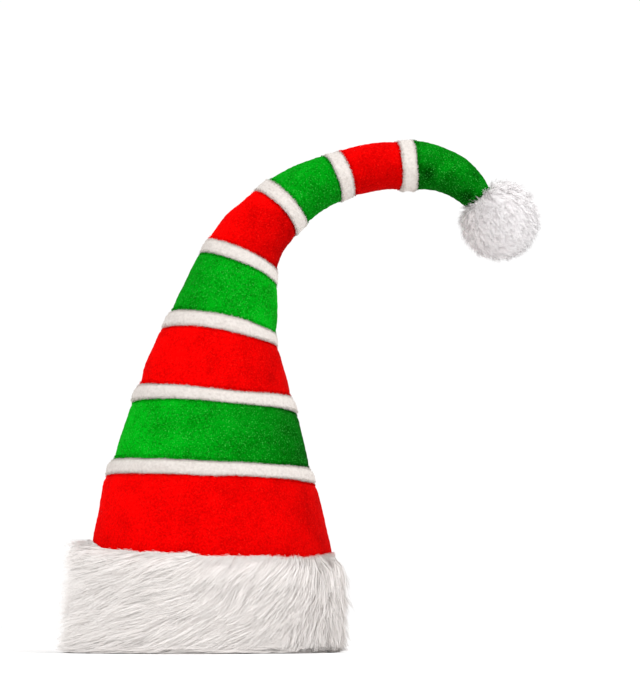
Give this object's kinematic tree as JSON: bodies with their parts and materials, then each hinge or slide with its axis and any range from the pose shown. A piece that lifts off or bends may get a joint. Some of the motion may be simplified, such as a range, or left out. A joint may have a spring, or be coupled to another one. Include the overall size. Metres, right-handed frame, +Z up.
{
  "type": "elf hat",
  "caption": "Long stuffed elf hat in red and green stripes with puffed white bands, curling over to a fur pompom, with a deep fur trim and an open lined hollow for the head.",
  "frame": {"origin": "centre of the whole hat's footprint box, on the surface it stands on", "axes": "+Z up from the rim; the tip curls over towards +X; -Y is the front in the picture"},
  "size_m": [0.428, 0.2102, 0.4625],
  "materials": {
    "fur": "long white faux fur",
    "lining": "plain red lining cloth",
    "red_plush": "short red plush",
    "green_plush": "short green plush",
    "white_fleece": "off-white fleece"
  },
  "bodies": {
    "root": {"fur_trim": "fur", "lining": "lining", "red_panel_1": "red_plush", "red_panel_2": "red_plush", "red_panel_3": "red_plush", "red_panel_4": "red_plush", "green_panel_1": "green_plush", "green_panel_2": "green_plush", "green_panel_3": "green_plush", "green_panel_4": "green_plush", "white_band_1": "white_fleece", "white_band_2": "white_fleece", "white_band_3": "white_fleece", "white_band_4": "white_fleece", "white_band_5": "white_fleece", "white_band_6": "white_fleece", "white_band_7": "white_fleece", "pompom": "fur"}
  },
  "joints": []
}
